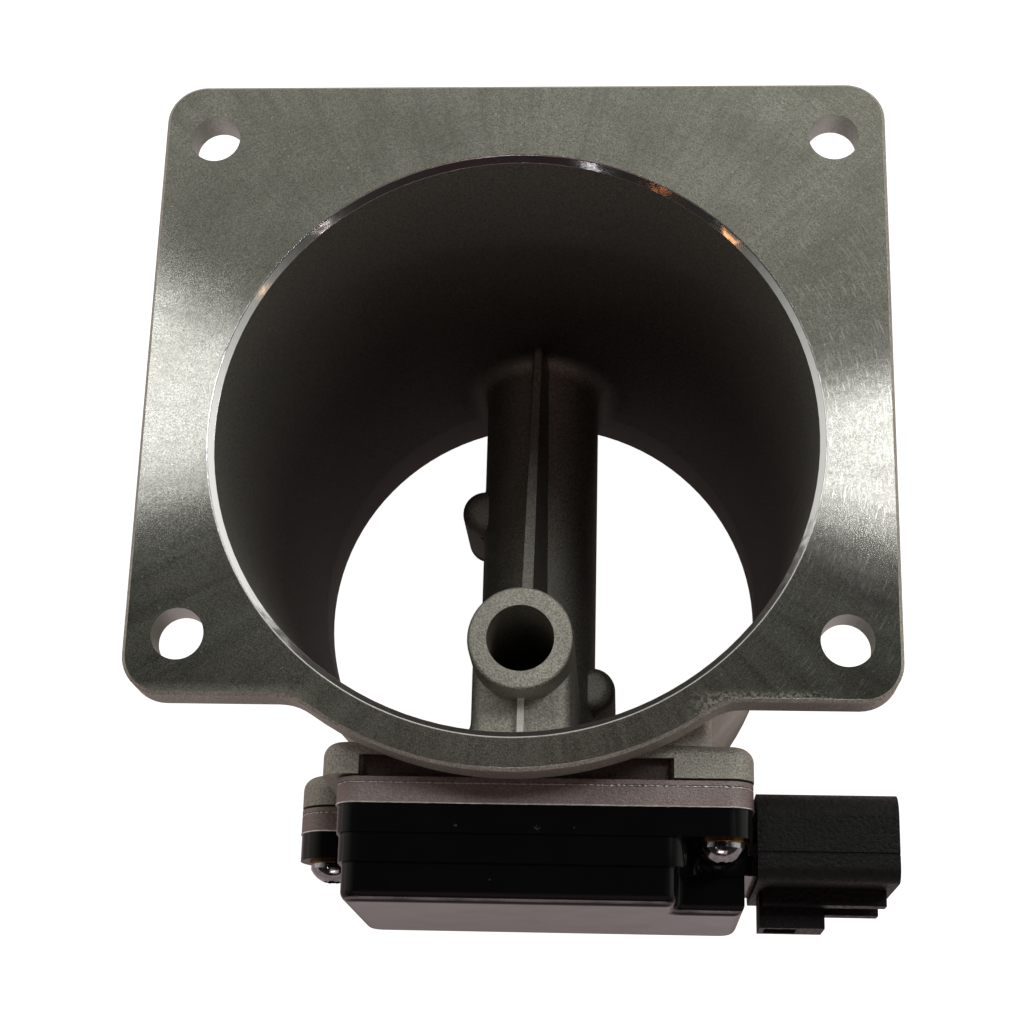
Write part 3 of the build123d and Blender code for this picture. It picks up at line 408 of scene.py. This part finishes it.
# Painted highlight: a light grey band where the normal leans between the lid's two flat walls.
painted_edge_highlight = node("MapRange", (uneven, 0.3, 0.6, 0.35, 1.0))
for slope in ((lean, -0.56, -0.68, 0.0, 1.0), (lean, -0.86, -0.76, 0.0, 0.8)):
    painted_edge_highlight = node("Math", (painted_edge_highlight, node("MapRange", slope)), operation="MULTIPLY")
colour = node("Mix", {0: painted_edge_highlight, 6: colour, 7: linear("#978f93")}, out=2, data_type="RGBA")
rough = node("Mix", {0: painted_edge_highlight, 2: rough, 3: 0.34})
relief = node("Bump", {"Height": height, "Distance": RELIEF})
shader = node("BsdfPrincipled", {"Base Color": colour, "Roughness": rough, "Normal": relief, **POLYESTER})
node("OutputMaterial", (shader,), out=None)
print("made", cover.name)

# %% [markdown]
# The small parts share one recipe. A grain at its real size moves the colour between two close tones,
# and the roughness with it, because a darker patch is usually a duller one. Plated metal is smooth
# and mirror-like, so nearly all of its look is what it reflects.

# %% Plated, turned and drawn metals
def fine_grained(name, dark, light, grain_mm, rough_low, rough_high, depth_mm, **sockets):
    """A fine grain between two tones, with its own change in roughness and its own shallow relief."""
    material, node, place = start_material(name)
    grain = node("TexNoise", {"Vector": place, "Scale": 1 / (grain_mm * MM), "Detail": 3.0})
    share = node("MapRange", (grain, 0.3, 0.7, 0.0, 1.0))
    colour = node("Mix", {0: share, 6: linear(dark), 7: linear(light)}, out=2, data_type="RGBA")
    rough = node("MapRange", (grain, 0.3, 0.7, rough_low, rough_high))
    relief = node("Bump", {"Height": grain, "Distance": depth_mm * MM})
    shader = node("BsdfPrincipled", {"Base Color": colour, "Roughness": rough, "Normal": relief, **sockets})
    node("OutputMaterial", (shader,), out=None)
    return material


metal = partial(fine_grained, Metallic=1.0)
zinc = metal("bright_zinc_plated_steel", "#8f8f94", "#bcbcc0", 0.6, 0.07, 0.14, 0.008)
brass = metal("turned_brass", "#5c3d1e", "#8c6234", 0.4, 0.2, 0.34, 0.01)
tin = metal("tin_plated_bronze", "#b7b4ac", "#d8d5cc", 0.8, 0.2, 0.36, 0.01)
nickel = metal("drawn_nickel_wire", "#a6a5a0", "#c4c3bd", 0.3, 0.2, 0.3, 0.005)
ribbon = metal("bonded_aluminium_ribbon", "#cfcfcd", "#e8e8e6", 0.5, 0.2, 0.3, 0.005)
solder = metal("reflowed_solder", "#a9aaa8", "#cfd0ce", 0.7, 0.16, 0.3, 0.01)
burnished = metal("burnished_aluminium_edge", "#d4d4d0", "#f4f4f1", 0.5, 0.28, 0.42, 0.01)
print("made 7 small metals")

# %% [markdown]
# Rubber, resin, ceramic and glass are not metals: their colour lies under a clear surface, and the
# refractive index, the last value here, says how strongly that surface shines. Rubber is rough and
# dull, glass is smooth.

# %% Moulded, pressed and baked non-metals
gasket = fine_grained("cut_fibre_gasket", "#1b1b1a", "#2b2a28", 0.5, 0.7, 0.9, 0.05, IOR=1.5)
silicone = fine_grained("silicone_bead", "#5a1f18", "#6c2a20", 1.5, 0.35, 0.5, 0.02, IOR=1.42)
nitrile = fine_grained("moulded_nitrile_rubber", "#101010", "#1b1b1a", 0.8, 0.5, 0.65, 0.02, IOR=1.52)
board = fine_grained("green_solder_resist", "#0d3a1f", "#14502b", 2.5, 0.25, 0.4, 0.02, IOR=1.55)
epoxy = fine_grained("moulded_epoxy", "#151516", "#242425", 0.25, 0.5, 0.65, 0.02, IOR=1.55)
ceramic = fine_grained("fired_ceramic", "#6d4f31", "#8a6a45", 0.3, 0.35, 0.5, 0.01, IOR=1.6)
glass_coat = fine_grained("fired_glass_coat", "#b9bfc0", "#d9dedd", 0.4, 0.12, 0.2, 0.01, IOR=1.52)
nylon = fine_grained("glass_filled_nylon", "#131313", "#222221", 0.3, 0.45, 0.6, 0.04, IOR=1.53)
print("made 8 small solids")

# %% [markdown]
# Each CAD part keeps its mesh, and only its material slot changes. The terminals and the prongs are
# numbered parts of one kind, so their number is left off when their finish is looked up.

# %% Give each CAD part its finish
FINISH_OF = {
    "main_casting": cast, "module_base": base, "module_housing": housing, "housing_cover": cover,
    "module_screws": zinc, "bypass_cover_screws": zinc, "compression_sleeves": brass,
    "base_gasket": gasket, "housing_seal": silicone, "stem_ring": nitrile, "circuit_board": board,
    "control_chip": epoxy, "driver_transistor": epoxy, "board_capacitors": ceramic,
    "board_jumpers": ribbon, "sensor_stem": nylon, "bypass_cover": nylon,
    "hot_wire_element": glass_coat, "air_temperature_element": glass_coat,
    "terminal": tin, "element_prong": nickel,
}
for name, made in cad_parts.items():
    finish = FINISH_OF.get(name) or FINISH_OF[name.rsplit("_", 1)[0]]
    made.data.materials.clear()
    made.data.materials.append(finish)
print("finished parts", len(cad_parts))

# %% [markdown]
# Real edges are never quite sharp. Deburring leaves a small round lip at the mouth of the bore,
# tumbling leaves a bright rim on the base plate, and the two halves of its die leave a thin ragged
# line of flash. All three are a round bead carried along a closed path. At each point of the path
# there are two directions at right angles to it, outwards and up, and a circle is drawn in them:
# point = path + radius times (cosine of the turn times outwards + sine of the turn times up).

# %% A new piece of the object
def mesh_piece(name, points, faces, material):
    """Makes an object at the origin from points and faces, shaded smooth, riding on the body."""
    mesh = bpy.data.meshes.new(name)
    mesh.from_pydata(points.tolist(), [], faces)
    mesh.polygons.foreach_set("use_smooth", np.ones(len(mesh.polygons), dtype=bool))
    mesh.materials.append(material)
    piece = bpy.data.objects.new(name, mesh)
    scene.collection.objects.link(piece)
    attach(piece, "root")
    print(name, "points", len(points), "faces", len(faces))


# %% [markdown]
# Neighbouring circles are joined by faces with four corners, and the last circle to the first, so the
# bead has no ends. A sum of a few sines with whole numbers of waves makes it uneven, and meets itself
# after one round.

# %% A bead along a closed path
def closed_bead(name, path, outward, up, radius, material, sides=8):
    """Closed tube: path + radius * (cos(turn) * outward + sin(turn) * up), joined ring to ring.

    The enclosed volume, a sum of triple products, is below 0 where the faces look inwards. Then the
    order of their corners is turned round.
    """
    turn = np.arange(sides) * 2 * np.pi / sides
    circle = np.cos(turn)[:, None] * outward[:, None] + np.sin(turn)[:, None] * up
    points = (path[:, None] + radius[:, None, None] * circle).reshape(-1, 3)
    ring, side = np.meshgrid(np.arange(len(path)), np.arange(sides), indexing="ij")
    this_row, next_row = ring * sides, (ring + 1) % len(path) * sides
    after = (side + 1) % sides
    corners = this_row + side, next_row + side, next_row + after, this_row + after
    faces = np.stack([corner.ravel() for corner in corners], axis=1)
    first, second, third, fourth = points[faces.T]
    volume = np.sum(first * (np.cross(second, third) + np.cross(third, fourth))) / 6
    if volume < 0:
        faces = faces[:, ::-1]
    print(name, "holds", round(abs(volume) / MM ** 3, 2), "cubic mm")
    mesh_piece(name, points, faces.tolist(), material)


def ripple(count, waves, phase):
    """Smooth uneven line from -1 to 1 round a closed path: the mean of four sines of whole waves."""
    along = np.arange(count) / count * 2 * np.pi
    return np.mean([np.sin(along * w + phase * (i + 1)) for i, w in enumerate(waves)], axis=0)


print("ripple of one wave", [round(float(v), 2) for v in ripple(4, (1,), 0.0)])

# %% [markdown]
# The lip at the mouth is a circle at the chamfer's outer edge. Its centre line lies a little under the
# face, so that the bead stands less than 0.1 mm proud, and its thickness ripples slightly, as a hand
# deburring tool leaves it.

# %% Deburred lip of the mouth
LIP_POINTS = 480
angle = np.arange(LIP_POINTS) / LIP_POINTS * 2 * np.pi
round_out = np.column_stack([np.cos(angle), np.sin(angle), np.zeros(LIP_POINTS)])
lip_radius = (0.13 + 0.02 * ripple(LIP_POINTS, (23, 41, 67, 97), 0.7)) * MM
lip_path = round_out * (MOUTH_RADIUS + CHAMFER) + np.array([0, 0, FACE_Z - 0.10 * MM])
closed_bead("mouth_edge", lip_path, round_out, np.array([0.0, 0.0, 1.0]), lip_radius, cast)

# %% [markdown]
# The base plate's outline, seen from the front, is a rounded rectangle with a lug on its left. It is
# built from five arcs, each an array of points. The straight runs are the gaps between them. The
# points are then spread evenly along the whole length, so a bead can ripple on the runs too.

# %% Outline of the base plate, in mm
LEFT, RIGHT, BOTTOM, TOP, CORNER = -25.2, 35.2, 62.5, 100.5, 3.6
LUG_X, LUG_Z, LUG_RADIUS = -29.1, 69.5, 5.3


def arc(centre_x, centre_z, radius, start, end):
    """Points on a circle from one angle to another, in degrees, with x to the right and z up."""
    turn = np.radians(np.linspace(start, end, 25))
    return np.column_stack([centre_x + radius * np.cos(turn), centre_z + radius * np.sin(turn)])


def base_outline(inset, count):
    """Even points round the plate, this far inside its edge, and the outward direction at each."""
    r = CORNER - inset
    web_angle = 180 + np.degrees(np.arcsin((BOTTOM + CORNER - LUG_Z + LUG_RADIUS - inset) / r))
    line = np.concatenate([
        arc(RIGHT - CORNER, BOTTOM + CORNER, r, -90, 0), arc(RIGHT - CORNER, TOP - CORNER, r, 0, 90),
        arc(LEFT + CORNER, TOP - CORNER, r, 90, 180), [(LEFT + inset, LUG_Z + LUG_RADIUS - inset)],
        arc(LUG_X, LUG_Z, LUG_RADIUS - inset, 90, 270), arc(LEFT + CORNER, BOTTOM + CORNER, r, web_angle, 270),
    ])
    line = np.concatenate([line, line[:1]])
    length = np.concatenate([[0], np.cumsum(np.linalg.norm(np.diff(line, axis=0), axis=1))])
    even = np.linspace(0, length[-1], count, endpoint=False)
    x, z = np.interp(even, length, line[:, 0]), np.interp(even, length, line[:, 1])
    along_x, along_z = np.roll(x, -1) - np.roll(x, 1), np.roll(z, -1) - np.roll(z, 1)
    step = np.hypot(along_x, along_z)
    outward = np.column_stack([along_z / step, np.zeros(count), -along_x / step])
    print("outline", round(length[-1], 1), "mm round")
    return x, z, outward


# %% [markdown]
# The rim lies on the plate's outer edge, where it meets the black housing. The flash lies in the
# shallow groove near the casting, thicker and thinner along its length and broken here and there,
# which is what makes it look dotted from a distance.

# %% Bright rim and ragged flash of the base plate
RIM_POINTS, RIM_Y, FLASH_POINTS, FLASH_Y = 900, -53.93, 1600, -51.05
front = np.array([0.0, -1.0, 0.0])
rim_x, rim_z, rim_out = base_outline(0.0, RIM_POINTS)
rim_path = np.column_stack([rim_x, np.full(RIM_POINTS, RIM_Y), rim_z]) * MM
rim_radius = (0.12 + 0.03 * ripple(RIM_POINTS, (31, 57, 88, 131), 1.1)) * MM
closed_bead("base_rim", rim_path, rim_out, front, rim_radius, burnished, 6)

flash_x, flash_z, flash_out = base_outline(0.2, FLASH_POINTS)
flash_y = FLASH_Y + 0.03 * ripple(FLASH_POINTS, (19, 47, 89, 143), 0.4)
flash_path = np.column_stack([flash_x, flash_y, flash_z]) * MM
flash_radius = (0.13 + 0.11 * ripple(FLASH_POINTS, (149, 211, 263, 337), 2.3)) * MM
closed_bead("parting_flash", flash_path, flash_out, front, flash_radius, burnished, 6)

# %% [markdown]
# Inside the housing, each of the four prongs of the hot wire is soldered through the circuit board.
# Melted solder climbs the wire and leaves a small cone with hollow sides: its radius falls with the
# square of the height. It is a profile turned round the prong, closed by a point at each end.

# %% Solder cones on the prongs
SOLDER_HEIGHT, SOLDER_SPREAD, SOLDER_SIDES, SOLDER_ROWS = 0.9, 0.62, 20, 9


def solder_cone(wire_radius):
    """Points and faces of one cone that stands on the origin and rises along -Y, in mm.

    Radius at height s from 0 to 1 is wire radius + spread * (1 - s) squared, as rows of a grid. One
    more point closes the foot and one closes the tip.
    """
    rise = np.linspace(0, 1, SOLDER_ROWS)[:, None]
    turn = np.arange(SOLDER_SIDES) * 2 * np.pi / SOLDER_SIDES
    spread = wire_radius + SOLDER_SPREAD * (1 - rise) ** 2
    shell = np.stack([spread * np.cos(turn), -SOLDER_HEIGHT * rise + 0 * turn, spread * np.sin(turn)], axis=-1)
    points = np.concatenate([shell.reshape(-1, 3), [(0, 0, 0), (0, -SOLDER_HEIGHT, 0)]])
    row, side = np.meshgrid(np.arange(SOLDER_ROWS - 1) * SOLDER_SIDES, np.arange(SOLDER_SIDES), indexing="ij")
    after = (side + 1) % SOLDER_SIDES
    corners = row + side, row + after, row + SOLDER_SIDES + after, row + SOLDER_SIDES + side
    walls = np.stack(corners, axis=-1).reshape(-1, 4)
    edge, beyond, last = side[0], after[0], shell[:-1].size // 3
    foot = np.column_stack([edge, np.full(SOLDER_SIDES, len(points) - 2), beyond])
    tip = np.column_stack([last + edge, last + beyond, np.full(SOLDER_SIDES, len(points) - 1)])
    return points, (walls, foot, tip)


prongs = [np.array(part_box(name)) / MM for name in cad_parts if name.startswith("element_prong")]
board_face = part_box("circuit_board")[0][1] / MM
wire = min(min(high[0] - low[0], high[2] - low[2]) for low, high in prongs)
cone, blocks = solder_cone(wire / 2)
feet = [((low[0] + high[0]) / 2, board_face + 0.02, (low[2] + high[2]) / 2) for low, high in prongs]
points = np.concatenate([cone + np.array(foot) for foot in feet]) * MM
faces = []
for index in range(len(feet)):
    for block in blocks:
        faces += (block + index * len(cone)).tolist()
mesh_piece("solder_cones", points, faces, solder)
print("soldered", len(feet), "prongs of", round(wire, 2), "mm on the face at y", round(board_face, 2))

# %% [markdown]
# The floor is a plain sheet of paper. Polished metal mirrors it through a painted glow: a painted
# shadow makes it dimmer the nearer it lies under the object, where the object's own shadow falls, and
# painted light lies beside the object and on a strip in front, which the module's face and the flange's edge
# mirror.

# %% What a mirror sees of the floor
STRIP_Y = -100 * MM
paper, node, place = start_material("matt_white_paper")
x, y, _ = node("SeparateXYZ", (place,), out=None).outputs
away = node("VectorMath", (place,), out="Value", operation="LENGTH")
# Painted shadow and painted light for mirrors: dim under the object, brighter beside it and in a strip in
# front.
open_floor = node("MapRange", (away, 70 * MM, 500 * MM, 0.1, 0.9))
behind_it = node("MapRange", (y, -300 * MM, 100 * MM, 0.25, 1.0))
beside = node("MapRange", (node("Math", (x,), operation="ABSOLUTE"), 38 * MM, 55 * MM, 0.0, 0.35))
near = node("MapRange", (away, 160 * MM, 100 * MM, 0.0, 1.0))
off_strip = node("Math", (node("Math", (y, STRIP_Y), operation="SUBTRACT"),), operation="ABSOLUTE")
strip = node("MapRange", (off_strip, 35 * MM, 20 * MM, 0.0, 0.32))
strip_end = node("MapRange", (away, 160 * MM, 130 * MM, 0.0, 1.0))
painted_mirror_glow = node("Math", (open_floor, behind_it), operation="MULTIPLY")
for patch, limit in ((beside, near), (strip, strip_end)):
    painted_mirror_glow = node("Math", (painted_mirror_glow, node("Math", (patch, limit), operation="MULTIPLY")), operation="MAXIMUM")
print("strip of light at y", round(STRIP_Y / MM), "mm")

# %% [markdown]
# The kind of ray picks the glow: 1 for the camera, so that the paper is plain white, and the patches
# above for mirrors. For all other light the paper is an ordinary matt surface without any glow, so it
# keeps the object's soft shadow.

# %% Paper and floor
FLOOR_SIZE, FLOOR_GAP = 8.0, 0.02 * MM
ray = node("LightPath", out=None).outputs
seen = node("Math", (ray["Is Camera Ray"], ray["Is Transmission Ray"]), operation="MAXIMUM")
mirrored = node("Math", (ray["Is Glossy Ray"], painted_mirror_glow), operation="MULTIPLY")
glow = node("Math", (seen, mirrored), operation="MAXIMUM")
warm = node("Mix", {0: seen, 6: linear("#f6e2e4"), 7: (1, 1, 1, 1)}, out=2, data_type="RGBA")
shader = node("BsdfPrincipled", {"Base Color": linear("#b8adad"), "Roughness": 0.9,
                                 "Emission Color": warm, "Emission Strength": glow})
node("OutputMaterial", (shader,), out=None)

corners = np.array([(-1, -1), (1, -1), (1, 1), (-1, 1)]) * FLOOR_SIZE / 2
sheet = bpy.data.meshes.new("floor")
sheet.from_pydata([(*corner, cad_box[0][2] - FLOOR_GAP) for corner in corners.tolist()], [], [(0, 1, 2, 3)])
sheet.materials.append(paper)
floor = bpy.data.objects.new("floor", sheet)
scene.collection.objects.link(floor)
print("floor", [round(v, 2) for v in floor.dimensions], "m")

# %% [markdown]
# Metal shows its room, so the room is designed as carefully as the metal. The walls are white and
# the ceiling is dim, which is why the flange looks dark although it is bright metal. It grows
# lighter towards the back, where the flange's far side mirrors it, and a faint glow comes from
# above the camera. Across, back and up are the parts of the direction that a ray leaves in.

# %% The room as a mirror sees it
world = bpy.data.worlds.new("studio_room")
scene.world = world
world.use_nodes = True
world.node_tree.nodes.clear()
node = partial(add, world.node_tree)
across, back, up = node("SeparateXYZ", (node("NewGeometry", out="Position"),), out=None).outputs
low_walls = node("MapRange", (up, 0.3, 0.8, 0.8, 0.0))
walls = node("Math", (low_walls, node("MapRange", (back, -0.5, 0.3, 0.04, 1.0))), operation="MULTIPLY")
behind = node("MapRange", (back, 0.28, 0.58, 0.0, 0.66))
high = node("MapRange", (up, 0.55, 0.8, 0.0, 1.0))
ahead = node("Math", (node("MapRange", (back, -0.05, -0.35, 0.0, 0.36)), high), operation="MULTIPLY")
room = node("Math", (node("Math", (walls, behind), operation="MAXIMUM"), ahead), operation="MAXIMUM")
room = node("Math", (room, node("MapRange", (across, -0.1, 0.15, 0.92, 1.25))), operation="MULTIPLY")
print("nodes in the room", len(world.node_tree.nodes))

# %% [markdown]
# The kind of ray picks the strength: the designed room for mirrors and glass, plain white for the
# camera, and a low even light for matt surfaces. The room is a little warm in front and neutral at
# the sides and behind, as a workshop with daylight at its back would be.

# %% Strength and tint of the room
EVEN_LIGHT = 0.21
ray = node("LightPath", out=None).outputs
mirror = node("Math", (ray["Is Glossy Ray"], ray["Is Transmission Ray"]), operation="MAXIMUM")
strength = node("Mix", {0: mirror, 2: EVEN_LIGHT, 3: room})
strength = node("Mix", {0: ray["Is Camera Ray"], 2: strength, 3: 1.0})
sideways = node("MapRange", (node("Math", (across,), operation="ABSOLUTE"), 0.25, 0.6, 0.0, 1.0))
cool = node("Math", (node("MapRange", (back, -0.1, 0.3, 0.0, 1.0)), sideways), operation="MAXIMUM")
tint = node("Mix", {0: cool, 6: linear("#f2c0c2"), 7: linear("#f8f8ec")}, out=2, data_type="RGBA")
tint = node("Mix", {0: ray["Is Camera Ray"], 6: tint, 7: (1, 1, 1, 1)}, out=2, data_type="RGBA")
node("OutputWorld", (node("Background", (tint, strength)),), out=None)
print("even light", EVEN_LIGHT)

# %% [markdown]
# Two soft boxes hang behind the object, left and right. The lathe lines of the flange spread them
# into the two bright fans. A large dim one in front lights the module's face, and a long thin one
# beside it sharpens the light on the plastic's rounded edges.

# %% Lamps
def soft_box(name, place_mm, aim_mm, width_mm, height_mm, watts, colour="#ffffff"):
    """Area lamp at a place, turned so that its face looks at the aim and its width lies level."""
    lamp = bpy.data.lights.new(name, "AREA")
    lamp.shape, lamp.size, lamp.size_y = "RECTANGLE", width_mm * MM, height_mm * MM
    lamp.energy, lamp.color = watts, linear(colour)[:3]
    made = bpy.data.objects.new(name, lamp)
    scene.collection.objects.link(made)
    place, aim = np.array(place_mm) * MM, np.array(aim_mm) * MM
    away = (place - aim) / np.linalg.norm(place - aim)
    side = np.cross((0, 1, 0), away)
    side /= np.linalg.norm(side)
    turn = np.column_stack([side, np.cross(away, side), away])
    made.matrix_world = Matrix.Translation(place.tolist()) @ Matrix(turn.tolist()).to_4x4()
    print(name, watts, "W at", round(float(np.linalg.norm(place - aim)), 2), "m")


soft_box("left_box", (-512, 415, 1020), (-50, 0, 108), 300, 250, 1.25)
soft_box("right_box", (512, 342, 1020), (50, 0, 108), 300, 225, 2.6)
soft_box("front_box", (60, -850, 330), (0, -40, 80), 500, 250, 0.28, "#ffe2e2")
soft_box("front_tube", (0, -790, 330), (0, -60, 90), 220, 34, 0.24)

# %% [markdown]
# A mirror-bright chamfer is only as lively as the room it shows. Small lamps round the front give it
# the glints that a room with a few bulbs does. Each is too small and dim to light anything else. A
# glint lies where the lamp's mirror direction meets the chamfer, so moving one slides its glint.

# %% Small bulbs for the chamfer's glints
BULBS = (((844, -612, 617), 0.09, "#fff0e6"), ((1047, -252, 539), 0.03, "#ffcf96"),
         ((-395, -947, 648), 0.04, "#ffffff"), ((-698, -783, 602), 0.03, "#ff9a5c"),
         ((-962, -492, 524), 0.03, "#ffb877"))
for number, (place_mm, watts, hex_colour) in enumerate(BULBS, 1):
    soft_box("bulb_%d" % number, place_mm, (0, 20, 108), 50, 50, watts, hex_colour)

# %% [markdown]
# The camera stands where the photograph was taken from. Its place and turn were solved from the
# flange's circle, corners and stud holes, so three directions and a place are all it needs.

# %% Camera
camera = bpy.data.objects.new("camera", bpy.data.cameras.new("camera"))
scene.collection.objects.link(camera)
camera.data.lens, camera.data.sensor_width = 71.94, 36.0
camera.data.clip_start, camera.data.clip_end = 0.01, 50.0
to_right = np.array((0.99833391, 0.02474139, -0.0521274))
to_top = np.array((-0.00705692, 0.94897795, 0.31526347))
turn = np.column_stack([to_right, to_top, np.cross(to_right, to_top)])
camera.matrix_world = Matrix.Translation((0.017027, -0.106372, 0.39107)) @ Matrix(turn.tolist()).to_4x4()
scene.camera = camera
scene.view_settings.view_transform = "Standard"
print("camera height", round(camera.matrix_world.translation.z, 3), "m")
